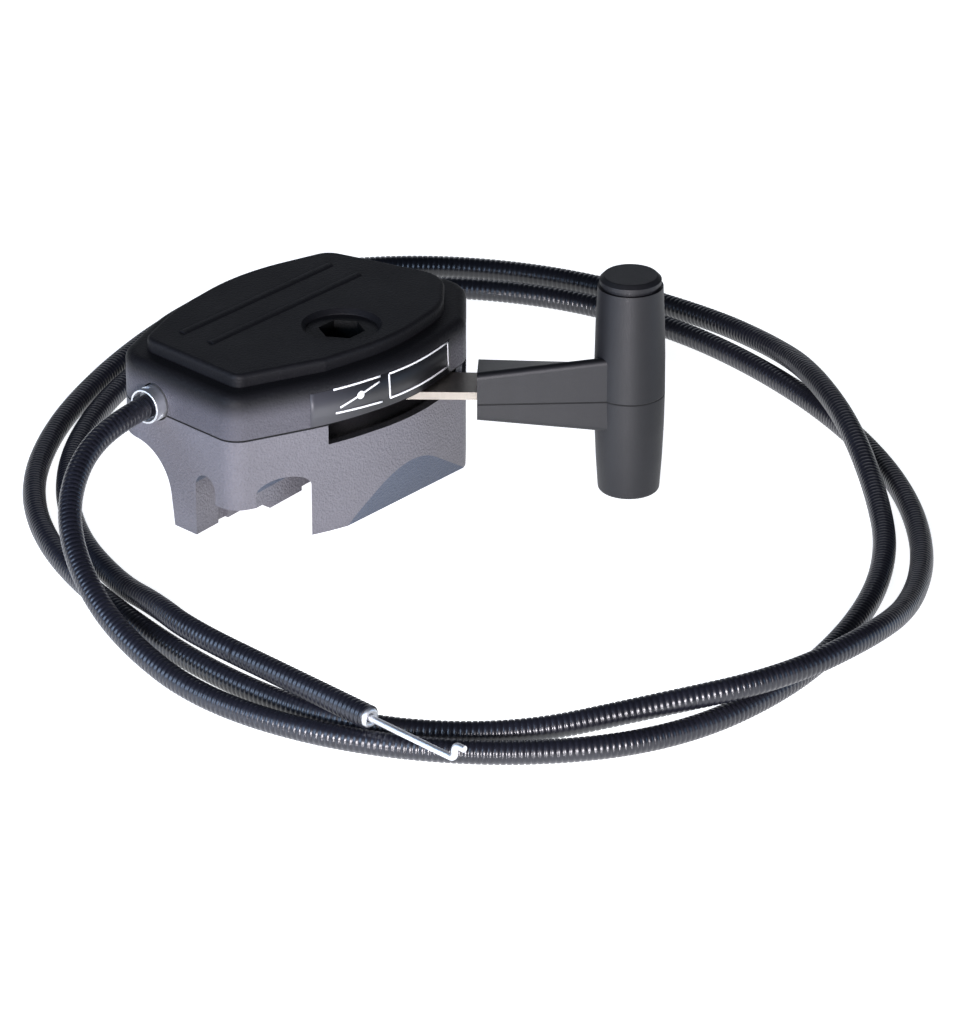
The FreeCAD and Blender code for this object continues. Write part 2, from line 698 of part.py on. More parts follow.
# Route of the conduit: (x, y, height of its centre above the ground it lies on).
OUTLET = V(-40.0 * along, size("outlet_side") * across, size("outlet_level"))
GROUND = -size("seat_drop")
LYING = size("conduit_outer") / 2
OVER = LYING + 7.6
ROUTE = [
    (-71.5, 21.0, 27.5),
    (-87.0, 12.0, 20.5),
    (-99.0, -4.0, 13.0),
    (-108.0, -26.0, 6.5),
    (-114.0, -57.0, LYING),
    (-108.0, -96.0, LYING),
    (-88.0, -130.0, LYING),
    (-58.0, -152.0, LYING),
    (-19.0, -156.0, LYING),
    (20.0, -147.0, LYING),
    (51.0, -131.0, LYING),
    (74.0, -110.0, 5.0),
    (92.0, -88.0, OVER),
    (110.0, -63.0, OVER),
    (125.0, -40.0, 6.0),
    (135.0, -9.0, LYING),
    (132.0, 34.0, LYING),
    (114.0, 71.0, LYING),
    (85.0, 94.0, LYING),
    (47.0, 97.0, LYING),
    (8.0, 88.0, LYING),
    (-29.0, 73.0, LYING),
    (-60.0, 51.0, LYING),
    (-82.0, 20.0, LYING),
    (-95.0, -17.0, LYING),
    (-103.0, -54.0, LYING),
    (-102.0, -91.0, LYING),
    (-82.0, -122.0, LYING),
    (-57.0, -143.0, 7.6),
    (-30.0, -161.0, OVER),
    (2.0, -163.5, OVER),
    (30.0, -154.0, 5.0),
    (58.0, -137.0, LYING),
    (83.0, -112.0, LYING),
    (103.0, -80.0, LYING),
    (117.0, -44.0, LYING),
    (124.0, -7.0, LYING),
    (120.0, 31.0, LYING),
    (100.0, 66.0, LYING),
    (69.0, 85.0, LYING),
    (30.0, 86.0, LYING),
    (-9.0, 75.0, LYING),
    (-43.0, 55.0, LYING),
    (-68.0, 28.0, LYING),
    (-82.0, 0.0, 3.4),
    (-90.5, -20.0, 7.6),
]
SLEEVE_START = V(-99.8, -54.6, GROUND + 9.2)
SLEEVE_WAY = V(-4.8, -45.2, 0.0).normalize()


def conduit_route():
    points = [OUTLET, OUTLET - V(15.0, 0, 0)]
    for x, y, height in ROUTE:
        points.append(V(x, y, GROUND + height))
    points.append(SLEEVE_START - SLEEVE_WAY * 16.8)
    points.append(V(SLEEVE_START))
    return points


def ferrule():
    """Crimped ferrule: mouth, conduit seat, clip groove and nose, turned about the outlet's axis."""
    outer = size("ferrule_outer") / 2
    seat = size("conduit_outer") / 2 + 0.02
    profile = [(seat, 0.0, 0), (seat, 4.0, 0), (outer - 0.6, 4.6, 0), (outer - 0.6, 7.2, 0.2),
               (outer, 7.2, 0.2), (outer, 0.2, 0), (3.3, 0.2, 0), (3.3, -1.0, 0), (outer - 0.6, -1.0, 0),
               (outer - 0.6, -1.8, 0), (3.2, -1.8, 0), (3.2, -6.4, 0.4), (1.1, -6.4, 0), (1.1, 0.0, 0)]
    body = new_body("ferrule")
    sketch = new_sketch(body, "ferrule_profile", "XZ_Plane")
    draw(sketch, profile)
    turn = spin(body, "ferrule_turn", sketch)
    dents = new_sketch(body, "crimp_outline", "XZ_Plane")
    draw(dents, rectangle(outer - 0.35, outer + 1, 4.7, 5.9))
    groove = spin(body, "crimp_ring", dents, "PartDesign::Groove")
    groove.Angle = 250.0
    body.Placement = FreeCAD.Placement(OUTLET, FreeCAD.Rotation(V(0, 1, 0), -90))
    return body


def ferrule_clip():
    """Flat U clip in the ferrule's groove, behind the end wall."""
    body = new_body("ferrule_clip")
    sketch = new_sketch(body, "clip_outline", "YZ_Plane")
    draw(sketch, [(-4.9, -3.0, 0.4), (-3.36, -3.0, 0.4), (-3.36, 0.0, 0), (-3.36, 3.4, 3.3),
                  (3.36, 3.4, 3.3), (3.36, 0.0, 0), (3.36, -3.0, 0.4), (4.9, -3.0, 0.4),
                  (4.9, 5.4, 1.5), (-4.9, 5.4, 1.5)])
    grow(body, "clip", sketch, "0.7")
    body.Placement = FreeCAD.Placement(OUTLET + V(0.25, 0, 0), FreeCAD.Rotation())
    return body


def conduit_end():
    """Straight last length of the conduit, open for the sliding wire."""
    length = size("end_sleeve_length")
    outer = size("conduit_outer") / 2
    bore = size("wire_hole") / 2
    profile = [(0, 0, 0), (outer, 0, 0), (outer, length - 2.6, 0), (outer - 0.35, length - 2.6, 0),
               (outer - 0.35, length, 0.3), (bore, length, 0), (bore, 1.4, 0), (0, 1.4, 0)]
    body = turned("conduit_end", profile)
    body.Placement = FreeCAD.Placement(SLEEVE_START, FreeCAD.Rotation(UP, SLEEVE_WAY))
    return body


def wire_far_end():
    """Inner wire at the engine's end, with its Z bend."""
    length = size("end_sleeve_length")
    start = SLEEVE_START + SLEEVE_WAY * (length - 20.0)
    bend = SLEEVE_START + SLEEVE_WAY * (length + size("wire_out"))
    leg = bend + UP * 3.6
    tip = leg + SLEEVE_WAY * 3.2
    return tube("inner_wire_far_end", [start, bend, leg, tip], size("wire_thickness"), 1.4)


def wire_lever_end():
    """Inner wire from the conduit to the crank's hole, with its Z bend."""
    turn = math.radians(size("lever_rest") + size("crank_angle"))
    hole = V(math.cos(turn), math.sin(turn), 0) * size("crank_reach")
    thick = size("wire_thickness")
    top = size("blade_level") + size("blade_thickness") + 0.35 + thick / 2
    low = size("blade_level") - 0.35 - thick / 2
    start = OUTLET + V(7.0, 0, 0)
    knee = V(hole.x, hole.y, top)
    foot = V(hole.x, hole.y, low)
    way = V(knee.x - start.x, knee.y - start.y, 0).normalize()
    return tube("inner_wire_lever_end", [OUTLET + V(0.2, 0, 0), start, knee, foot, foot + way * 5.0], thick, 1.0)


# ---- build, check, write ---------------------------------------------------

pieces = [lower_housing(), top_cover()] + case_screws()
pieces += pivot_stack()
grip = [lever_blade()] + handle_shells() + [handle_cap()] + handle_screws()
for piece in grip:
    piece.Placement = REST
pieces += grip
pieces += [ferrule(), ferrule_clip(), conduit_end(), wire_far_end(), wire_lever_end()]
pieces.append(tube("conduit", conduit_route(), size("conduit_outer")))
doc.recompute()

for thing in doc.Objects:
    if "Invalid" in thing.State or "Error" in thing.State:
        raise SystemExit("not built: %s %s" % (thing.Name, thing.State))

os.makedirs("parts", exist_ok=True)
for piece in pieces:
    shape = piece.Shape
    if shape.isNull() or not shape.isValid():
        raise SystemExit("bad shape: " + piece.Label)
    box = shape.BoundBox
    print("%-24s solids %d volume %9.1f  x %7.1f %7.1f  y %7.1f %7.1f  z %6.1f %6.1f"
          % (piece.Label, len(shape.Solids), shape.Volume, box.XMin, box.XMax, box.YMin, box.YMax,
             box.ZMin, box.ZMax))
    shape.exportStep(os.path.join("parts", piece.Label + ".step"))
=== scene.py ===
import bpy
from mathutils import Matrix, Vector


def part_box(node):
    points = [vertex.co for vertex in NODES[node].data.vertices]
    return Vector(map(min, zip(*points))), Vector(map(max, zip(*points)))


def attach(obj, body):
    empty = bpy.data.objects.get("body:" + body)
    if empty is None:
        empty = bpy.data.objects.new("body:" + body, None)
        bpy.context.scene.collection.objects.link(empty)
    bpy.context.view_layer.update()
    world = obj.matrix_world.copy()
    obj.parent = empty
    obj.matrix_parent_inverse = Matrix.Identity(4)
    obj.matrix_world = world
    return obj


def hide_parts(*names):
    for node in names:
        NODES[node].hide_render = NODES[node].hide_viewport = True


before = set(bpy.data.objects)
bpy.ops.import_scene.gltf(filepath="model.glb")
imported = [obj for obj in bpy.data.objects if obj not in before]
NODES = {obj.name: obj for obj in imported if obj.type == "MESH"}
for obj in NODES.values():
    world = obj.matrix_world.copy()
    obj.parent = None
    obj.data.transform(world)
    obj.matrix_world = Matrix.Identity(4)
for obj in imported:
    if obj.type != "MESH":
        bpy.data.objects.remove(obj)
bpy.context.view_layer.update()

import math

import bmesh
import bpy
from mathutils import Vector
from mathutils.bvhtree import BVHTree

MM = 0.001

# ---------------------------------------------------------------------------
# Where things are, in metres, from the frame
# ---------------------------------------------------------------------------

CASE_LOW, CASE_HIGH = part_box("lower_housing")
FLOOR = CASE_LOW.z
SEAM = CASE_HIGH.z              # where the cover meets the lower moulding
SHELF = SEAM + 11.8 * MM        # top of the cover's rim
GRIP_SEAM = SEAM - 2.3 * MM     # where the two shells of the T grip meet
SLEEVE_START = Vector((-99.8, -54.6, 9.2)) * MM + Vector((0, 0, FLOOR))
SLEEVE_WAY = Vector((-4.8, -45.2, 0)).normalized()
SLEEVE_LENGTH = 45.5 * MM
CONDUIT = 5.8 * MM
RIB_PITCH = 1.4 * MM
GROOVE = 0.28 * MM


# ---------------------------------------------------------------------------
# Camera, from above and to the left, with a long lens
# ---------------------------------------------------------------------------

def studio_camera():
    target = Vector((9.85 * MM, -35.86 * MM, FLOOR))
    distance = 1.6
    height = math.radians(25.5)
    turn = math.radians(50)
    sensor = 36.0
    lens_to_frame = 6480 / 1024
    away = Vector((math.sin(turn) * math.cos(height), math.cos(turn) * math.cos(height),
                   -math.sin(height)))
    data = bpy.data.cameras.new("studio_camera")
    data.sensor_fit = "VERTICAL"
    data.sensor_height = sensor
    data.lens = sensor * lens_to_frame
    data.clip_start = 0.05
    data.clip_end = 50
    camera = bpy.data.objects.new("studio_camera", data)
    camera.location = target - away * distance
    camera.rotation_euler = away.to_track_quat("-Z", "Y").to_euler()
    bpy.context.scene.collection.objects.link(camera)
    bpy.context.scene.camera = camera


# ---------------------------------------------------------------------------
# Shader nodes as expressions
# ---------------------------------------------------------------------------

class Wire:
    """A value on its way through a material; arithmetic on it adds Math nodes."""

    def __init__(self, finish, socket):
        self.finish = finish
        self.socket = socket

    def maths(self, operation, *values):
        return self.finish.maths(operation, *values)

    def __add__(self, other):
        return self.maths("ADD", self, other)

    __radd__ = __add__

    def __sub__(self, other):
        return self.maths("SUBTRACT", self, other)

    def __rsub__(self, other):
        return self.maths("SUBTRACT", other, self)

    def __mul__(self, other):
        return self.maths("MULTIPLY", self, other)

    __rmul__ = __mul__

    def line(self, level, half_width):
        """1 at one level of this value, falling smoothly to 0 on both sides of it."""
        return 1.0 - self.maths("ABSOLUTE", self - level).band(half_width * 0.35, half_width)

    def band(self, start, end):
        """0 before start, 1 after end, and smooth in between."""
        return self.finish.node("ShaderNodeMapRange", {"interpolation_type": "SMOOTHSTEP"},
                                {"Value": self, "From Min": start, "From Max": end})


class Finish:
    """One material, built around a Principled BSDF."""

    def __init__(self, name, **constants):
        self.material = bpy.data.materials.new(name)
        self.material.use_nodes = True
        self.tree = self.material.node_tree
        self.shader = self.tree.nodes["Principled BSDF"]
        for label, value in constants.items():
            self.shader.inputs[label.replace("_", " ")].default_value = value
        self.place = self.node("ShaderNodeTexCoord", {}, {}, "Object")

    def node(self, kind, settings, values, output=0):
        made = self.tree.nodes.new(kind)
        for label, value in settings.items():
            setattr(made, label, value)
        for label, value in values.items():
            if isinstance(value, Wire):
                self.tree.links.new(value.socket, made.inputs[label])
            else:
                made.inputs[label].default_value = value
        return Wire(self, made.outputs[output])

    def feed(self, **links):
        for label, value in links.items():
            self.tree.links.new(value.socket, self.shader.inputs[label.replace("_", " ")])

    def noise(self, scale, detail=3.0, roughness=0.55, place=None):
        return self.node("ShaderNodeTexNoise", {},
                         {"Vector": place or self.place, "Scale": scale, "Detail": detail,
                          "Roughness": roughness}, "Fac")

    def pebbles(self, scale):
        return self.node("ShaderNodeTexVoronoi", {"feature": "SMOOTH_F1"},
                         {"Vector": self.place, "Scale": scale}, "Distance")

    def stretched(self, x, y, z):
        return self.node("ShaderNodeMapping", {}, {"Vector": self.place, "Scale": (x, y, z)})

    def axis(self, label):
        return self.node("ShaderNodeSeparateXYZ", {}, {"Vector": self.place}, label)

    def facing_up(self):
        normal = self.node("ShaderNodeNewGeometry", {}, {}, "Normal")
        return self.node("ShaderNodeSeparateXYZ", {}, {"Vector": normal}, "Z")

    def maths(self, operation, *values):
        return self.node("ShaderNodeMath", {"operation": operation}, dict(enumerate(values)))

    def relief(self, height, distance):
        return self.node("ShaderNodeBump", {}, {"Height": height, "Distance": distance,
                                                "Strength": 1.0}, "Normal")


# A Mix node has several sockets of each name, so its colour sockets are told by their order.
MIX_AMOUNT, MIX_LOW, MIX_HIGH = 0, 6, 7
MIX_RESULT = 2


def colour_mix(finish, amount, low, high):
    """The low colour where the amount is 0, the high one where it is 1."""
    low, high = [tone if isinstance(tone, Wire) else (*tone, 1.0) for tone in (low, high)]
    return finish.node("ShaderNodeMix", {"data_type": "RGBA"},
                       {MIX_AMOUNT: amount, MIX_LOW: low, MIX_HIGH: high}, MIX_RESULT)


# ---------------------------------------------------------------------------
# Finishes: noise and pebble scales are per metre, relief distances in metres
# ---------------------------------------------------------------------------

# Black, for the parting lines and for the painted shadow in the bolt's socket.
PARTING_LINE_AND_SHADOW = (0.001, 0.001, 0.001)
SEAM_HALF_WIDTH = 0.00028
GRIP_SEAM_HALF_WIDTH = 0.00026
SOCKET_RADIUS, SOCKET_EDGE = 0.0060, 0.0066
GRAIN_DEPTH = 0.00030
SATIN_DEPTH = 0.00004
SMOOTH_DEPTH = 0.00002
FOIL_DEPTH = 0.00001


def moulded_grain(name, shaded_top_tones, lit_wall_tones, foot_shade_tone, shade_heights, specular):
    """Black moulding: grained walls, finer on top and darker there by painted shade,
    with its parting line.

    Painted shade: walls darken with height between two given levels, faces that turn towards
    the floor take a darker foot tone, and what lies close to the pivot's axis, down in the
    bolt's socket, is painted black as shadow.
    """
    finish = Finish(name, Specular_IOR_Level=specular)
    # Painted shade: faces that look up, and walls above the first given level, take the darker top
    # tones.
    shade_by_height = finish.axis("Z").band(*shade_heights)
    top = finish.maths("MAXIMUM", finish.facing_up().band(0.55, 0.9), shade_by_height)
    pebble = finish.pebbles(1700.0)
    fine = finish.noise(2600.0, 4.0, 0.6)
    cloud = finish.noise(60.0, 3.0)
    height = (pebble * 0.7 + fine * 0.55) * (1.0 - top * 0.6)
    seam = finish.axis("Z").line(SEAM, SEAM_HALF_WIDTH)
    shade = cloud * 0.35 + fine * 0.55
    walls = colour_mix(finish, shade, *lit_wall_tones)
    tops = colour_mix(finish, shade, *shaded_top_tones)
    # Painted shade: faces that lean towards the floor take the darker foot tone.
    leaning = 1.0 - finish.facing_up().band(-0.24, -0.12)
    foot = colour_mix(finish, leaning, walls, foot_shade_tone)
    plain = colour_mix(finish, top, foot, tops)
    from_axis = finish.node("ShaderNodeVectorMath", {"operation": "LENGTH"},
                            {0: finish.stretched(1.0, 1.0, 0.0)}, "Value")
    # Painted shadow: black within the bolt's socket, close to the pivot's axis.
    socket = 1.0 - from_axis.band(SOCKET_RADIUS, SOCKET_EDGE)
    finish.feed(
        Base_Color=colour_mix(finish, finish.maths("MAXIMUM", seam, socket), plain, PARTING_LINE_AND_SHADOW),
        Roughness=0.46 + top * 0.15 + (cloud - 0.5) * 0.12 + seam * 0.4,
        Normal=finish.relief(height - seam * 1.5, GRAIN_DEPTH))
    return finish.material


def grip_plastic():
    finish = Finish("grip_satin_plastic", Specular_IOR_Level=0.4)
    cloud = finish.noise(85.0, 4.0)
    fine = finish.noise(2600.0, 3.0, 0.6)
    flow = finish.noise(260.0, 3.0, 0.5, finish.stretched(1.0, 1.0, 0.12))
    parting = finish.axis("Z").line(GRIP_SEAM, GRIP_SEAM_HALF_WIDTH)
    sides = colour_mix(finish, cloud * 0.5 + flow * 0.3,
                       (0.006, 0.006, 0.007), (0.016, 0.016, 0.019))
    # Painted shade: upward faces of the grip take a darker tone.
    plain = colour_mix(finish, finish.facing_up().band(0.5, 0.85), sides, (0.004, 0.004, 0.005))
    finish.feed(
        Base_Color=colour_mix(finish, parting, plain, (0.003, 0.003, 0.003)),
        Roughness=0.42 + cloud * 0.10 + fine * 0.08 + parting * 0.3,
        Normal=finish.relief(fine * 0.6 + flow * 0.6 - parting * 3.0, SATIN_DEPTH))
    return finish.material


def conduit_jacket():
    finish = Finish("conduit_gloss_jacket", Specular_IOR_Level=0.5, Coat_Roughness=0.24)
    cloud = finish.noise(45.0, 3.0)
    scuff = finish.noise(900.0, 4.0, 0.65)
    finish.feed(
        Base_Color=colour_mix(finish, scuff * cloud, (0.004, 0.004, 0.007), (0.020, 0.021, 0.034)),
        Roughness=0.26 + scuff * 0.14 + cloud * 0.08,
        Coat_Weight=0.35 + cloud * 0.3,
        Normal=finish.relief(scuff, SMOOTH_DEPTH))
    return finish.material


def plated(name, dark, light, roughness, along):
    """Zinc plate over steel, with drawn lines along one axis."""
    finish = Finish(name)
    lines = finish.noise(900.0, 4.0, 0.6, finish.stretched(*along))
    cloud = finish.noise(140.0, 3.0)
    worn = finish.noise(420.0, 5.0, 0.7)
    finish.feed(
        Base_Color=colour_mix(finish, lines * 0.6 + cloud * 0.4, dark, light),
        Metallic=1.0 - worn.band(0.62, 0.8) * 0.18,
        Roughness=roughness + lines * 0.16 + worn * 0.10,
        Normal=finish.relief(lines * 0.8 + worn * 0.4, SMOOTH_DEPTH))
    return finish.material


def nylon():
    finish = Finish("natural_nylon", Specular_IOR_Level=0.45)
    cloud = finish.noise(300.0, 3.0)
    fine = finish.noise(2500.0, 3.0)
    finish.feed(
        Base_Color=colour_mix(finish, cloud, (0.70, 0.68, 0.60), (0.82, 0.80, 0.74)),
        Roughness=0.42 + fine * 0.15,
        Normal=finish.relief(fine, SMOOTH_DEPTH))
    return finish.material


def printed_white():
    finish = Finish("white_print", Specular_IOR_Level=0.4)
    wear = finish.noise(3800.0, 3.0, 0.6)
    finish.feed(
        Base_Color=colour_mix(finish, wear.band(0.3, 0.75),
                              (0.80, 0.81, 0.83), (0.93, 0.93, 0.94)),
        Roughness=0.42 + wear * 0.15)
    return finish.material


def label_foil():
    finish = Finish("label_gloss_black", Specular_IOR_Level=0.5)
    cloud = finish.noise(220.0, 3.0)
    # Painted sheen: the label is lighter at its left end, fading to black along X.
    finish.feed(
        Base_Color=colour_mix(finish, finish.axis("X").band(-0.028, -0.006) - cloud * 0.15,
                              (0.048, 0.048, 0.056), (0.006, 0.006, 0.007)),
        Roughness=0.40 + cloud * 0.10,
        Normal=finish.relief(cloud, FOIL_DEPTH))
    return finish.material


FINISHES = {
    # Painted shade: the cover's tops and upper walls are far darker than its walls.
    "cover": moulded_grain(
        "cover_moulding",
        shaded_top_tones=((0.003, 0.003, 0.004), (0.008, 0.008, 0.010)),
        lit_wall_tones=((0.046, 0.046, 0.054), (0.128, 0.123, 0.144)),
        foot_shade_tone=(0.02, 0.02, 0.02),
        shade_heights=(SEAM + 4 * MM, SHELF - 1.5 * MM),
        specular=0.25),
    # The lower moulding ends below these heights, so only its upward faces are painted darker as
    # shade.
    # Its walls are painted lighter than the cover's and its foot faces a darker blue: painted
    # light and shade on the same black plastic.
    "housing": moulded_grain(
        "housing_moulding",
        shaded_top_tones=((0.016, 0.016, 0.018), (0.030, 0.030, 0.034)),
        lit_wall_tones=((0.080, 0.078, 0.090), (0.185, 0.178, 0.200)),
        foot_shade_tone=(0.038, 0.052, 0.085),
        shade_heights=(SHELF, SHELF + 1 * MM),
        specular=0.5),
    "grip": grip_plastic(),
    "jacket": conduit_jacket(),
    "blade": plated("blade_zinc", (0.17, 0.155, 0.135), (0.36, 0.33, 0.29), 0.26,
                    along=(1.0, 1.0, 0.15)),
    "bright": plated("bright_zinc", (0.80, 0.82, 0.85), (0.96, 0.97, 0.98), 0.34,
                     along=(0.15, 1.0, 1.0)),
    "wire": plated("drawn_wire", (0.80, 0.81, 0.84), (0.96, 0.96, 0.97), 0.34,
                   along=(1.0, 0.1, 1.0)),
    "spring": plated("spring_steel", (0.30, 0.30, 0.32), (0.50, 0.50, 0.52), 0.30,
                     along=(1.0, 1.0, 0.3)),
    "nylon": nylon(),
    "print": printed_white(),
    "foil": label_foil(),
}

NODE_FINISH = {
    "top_cover": "cover",
    "lower_housing": "housing",
    "handle_upper_shell": "grip",
    "handle_lower_shell": "grip",
    "handle_cap": "grip",
    "lever_blade": "blade",
    "ferrule": "bright",
    "ferrule_clip": "bright",
    "inner_wire_far_end": "wire",
    "inner_wire_lever_end": "wire",
    "wave_spring": "spring",
    "friction_washer_lower": "nylon",
    "friction_washer_upper": "nylon",
}


def finish_frame():
    """Gives every CAD node its finish: zinc where NODE_FINISH names none."""
    for name, node in NODES.items():
        node.data.materials.clear()
        node.data.materials.append(FINISHES[NODE_FINISH.get(name, "blade")])


# ---------------------------------------------------------------------------
# The cable
# ---------------------------------------------------------------------------

# The route's sizes are in millimetres, with heights above the floor.
LYING = 2.9
OVER = 10.5
STRAIGHT_INTO_SLEEVE = 16.8
ROUTE = [
    (-40.0, 23.0, 31.2),
    (-55.0, 23.0, 31.2),
    (-71.5, 21.0, 27.5),
    (-87.0, 12.0, 20.5),
    (-99.0, -4.0, 13.0),
    (-108.0, -26.0, 6.5),
    (-114.0, -57.0, LYING),
    (-108.0, -96.0, LYING),
    (-88.0, -130.0, LYING),
    (-58.0, -152.0, LYING),
    (-19.0, -156.0, LYING),
    (20.0, -147.0, LYING),
    (51.0, -131.0, LYING),
    (74.0, -110.0, 5.0),
    (92.0, -88.0, OVER),
    (110.0, -63.0, OVER),
    (125.0, -40.0, 6.0),
    (135.0, -9.0, LYING),
    (132.0, 34.0, LYING),
    (114.0, 71.0, LYING),
    (85.0, 94.0, LYING),
    (47.0, 97.0, LYING),
    (8.0, 88.0, LYING),
    (-29.0, 73.0, LYING),
    (-60.0, 51.0, LYING),
    (-82.0, 20.0, LYING),
    (-95.0, -17.0, LYING),
    (-103.0, -54.0, LYING),
    (-102.0, -91.0, LYING),
    (-82.0, -122.0, LYING),
    (-57.0, -143.0, 7.6),
    (-30.0, -161.0, OVER),
    (2.0, -163.5, OVER),
    (30.0, -154.0, 5.0),
    (58.0, -137.0, LYING),
    (83.0, -112.0, LYING),
    (103.0, -80.0, LYING),
    (117.0, -44.0, LYING),
    (124.0, -7.0, LYING),
    (120.0, 31.0, LYING),
    (100.0, 66.0, LYING),
    (69.0, 85.0, LYING),
    (30.0, 86.0, LYING),
    (-9.0, 75.0, LYING),
    (-43.0, 55.0, LYING),
    (-68.0, 28.0, LYING),
    (-82.0, 0.0, 3.4),
    (-90.5, -20.0, 7.6),
]


def route_points():
    points = [Vector((x, y, height)) * MM + Vector((0, 0, FLOOR)) for x, y, height in ROUTE]
    return points + [SLEEVE_START - SLEEVE_WAY * STRAIGHT_INTO_SLEEVE * MM, SLEEVE_START]


def smooth_line(name, points):
    """A curve object with one open NURBS spline that begins and ends at its end points."""
    data = bpy.data.curves.new(name, "CURVE")
    data.dimensions = "3D"
    data.resolution_u = 24
    spline = data.splines.new("NURBS")
    spline.points.add(len(points) - 1)
    for point, place in zip(spline.points, points):
        point.co = (*place, 1.0)
    spline.order_u = 3
    spline.use_endpoint_u = True
    line = bpy.data.objects.new(name, data)
    bpy.context.scene.collection.objects.link(line)
    return line


def plain_mesh(piece):
    """An object's evaluated shape as a mesh of its own; a spline gives a chain of edges."""
    bpy.context.view_layer.update()
    depsgraph = bpy.context.evaluated_depsgraph_get()
    return bpy.data.meshes.new_from_object(piece.evaluated_get(depsgraph))


class Tree:
    """A Geometry Nodes tree with named inputs."""

    def __init__(self, name, inputs):
        self.tree = bpy.data.node_groups.new(name, "GeometryNodeTree")
        self.socket("Geometry", "INPUT", "NodeSocketGeometry")
        self.identifiers = {}
        for label, kind in inputs.items():
            self.identifiers[label] = self.socket(label, "INPUT", kind).identifier
        self.socket("Geometry", "OUTPUT", "NodeSocketGeometry")
        self.source = self.tree.nodes.new("NodeGroupInput")
        self.sink = self.tree.nodes.new("NodeGroupOutput")

    def socket(self, label, side, kind):
        return self.tree.interface.new_socket(label, in_out=side, socket_type=kind)

    def given(self, label):
        return self.source.outputs[label]

    def node(self, kind, settings, values, output=0):
        made = self.tree.nodes.new(kind)
        for label, value in settings.items():
            setattr(made, label, value)
        for label, value in values.items():
            if isinstance(value, bpy.types.NodeSocket):
                self.tree.links.new(value, made.inputs[label])
            else:
                made.inputs[label].default_value = value
        return made.outputs[output]

    def maths(self, operation, *values):
        return self.node("ShaderNodeMath", {"operation": operation}, dict(enumerate(values)))

    def end(self, geometry, material):
        real = self.node("GeometryNodeRealizeInstances", {}, {"Geometry": geometry})
        painted = self.node("GeometryNodeSetMaterial", {},
                            {"Geometry": real, "Material": material})
        self.tree.links.new(painted, self.sink.inputs["Geometry"])


RINGS_A_RIB = 4.0
SAME_STEP = 0.1
GROOVE_NARROWING = 0.09
SHOULDER_DROP = 0.1


def ribbed_tree():
    """Sweeps rounded ribs along a line: four rings a rib, one of them down in the groove."""
    tree = Tree("ribbed_conduit", {
        "Radius": "NodeSocketFloat", "Pitch": "NodeSocketFloat", "Groove": "NodeSocketFloat",
        "Sides": "NodeSocketInt", "Material": "NodeSocketMaterial"})
    pitch = tree.given("Pitch")
    quarter = tree.maths("DIVIDE", pitch, RINGS_A_RIB)
    line = tree.node("GeometryNodeMeshToCurve", {}, {"Mesh": tree.given("Geometry")})
    evenly = tree.node("GeometryNodeResampleCurve", {"mode": "LENGTH"},
                       {"Curve": line, "Length": quarter})
    ring_number = tree.node("GeometryNodeInputIndex", {}, {})
    step = tree.maths("FLOORED_MODULO", ring_number, RINGS_A_RIB)
    # Step 0 is the groove and step 2 the crown of the rib. Steps 1 and 3 move towards the
    # groove next to them, so that a rib is wide and a groove narrow.
    before = tree.maths("COMPARE", step, 3.0, SAME_STEP)
    after = tree.maths("COMPARE", step, 1.0, SAME_STEP)
    inwards = tree.maths("SUBTRACT", before, after)
    shift = tree.maths("MULTIPLY", inwards, tree.maths("MULTIPLY", pitch, GROOVE_NARROWING))
    tangent = tree.node("GeometryNodeInputTangent", {}, {})
    move = tree.node("ShaderNodeVectorMath", {"operation": "SCALE"},
                     {"Vector": tangent, "Scale": shift})
    placed = tree.node("GeometryNodeSetPosition", {}, {"Geometry": evenly, "Offset": move})
    groove = tree.maths("COMPARE", step, 0.0, SAME_STEP)
    crown = tree.maths("COMPARE", step, 2.0, SAME_STEP)
    shoulder = tree.maths("MULTIPLY", tree.maths("SUBTRACT", 1.0, crown), SHOULDER_DROP)
    drop = tree.maths("ADD", tree.maths("MULTIPLY", groove, 1.0 - SHOULDER_DROP), shoulder)
    sunk = tree.maths("MULTIPLY", drop, tree.given("Groove"))
    radius = tree.maths("SUBTRACT", tree.given("Radius"), sunk)
    sized = tree.node("GeometryNodeSetCurveRadius", {}, {"Curve": placed, "Radius": radius})
    ring = tree.node("GeometryNodeCurvePrimitiveCircle", {"mode": "RADIUS"},
                     {"Resolution": tree.given("Sides"), "Radius": 1.0})
    scale = tree.node("GeometryNodeInputRadius", {}, {})
    sweep = tree.node("GeometryNodeCurveToMesh", {},
                      {"Curve": sized, "Profile Curve": ring, "Scale": scale, "Fill Caps": True})
    smooth = tree.node("GeometryNodeSetShadeSmooth", {}, {"Geometry": sweep, "Shade Smooth": True})
    tree.end(smooth, tree.given("Material"))
    return tree


def grown(name, mesh, tree, **values):
    """The mesh that a Geometry Nodes tree makes from another mesh, as a new object."""
    seed = bpy.data.objects.new(name + "_seed", mesh)
    bpy.context.scene.collection.objects.link(seed)
    modifier = seed.modifiers.new("grow", "NODES")
    modifier.node_group = tree.tree
    for label, value in values.items():
        modifier[tree.identifiers[label]] = value
    made = plain_mesh(seed)
    seed.modifiers.remove(modifier)
    bpy.data.objects.remove(seed)
    return add_piece(name, made)


def add_piece(name, mesh, finish=None):
    mesh.name = name
    piece = bpy.data.objects.new(name, mesh)
    bpy.context.scene.collection.objects.link(piece)
    if finish:
        mesh.materials.clear()
        mesh.materials.append(FINISHES[finish])
    return piece


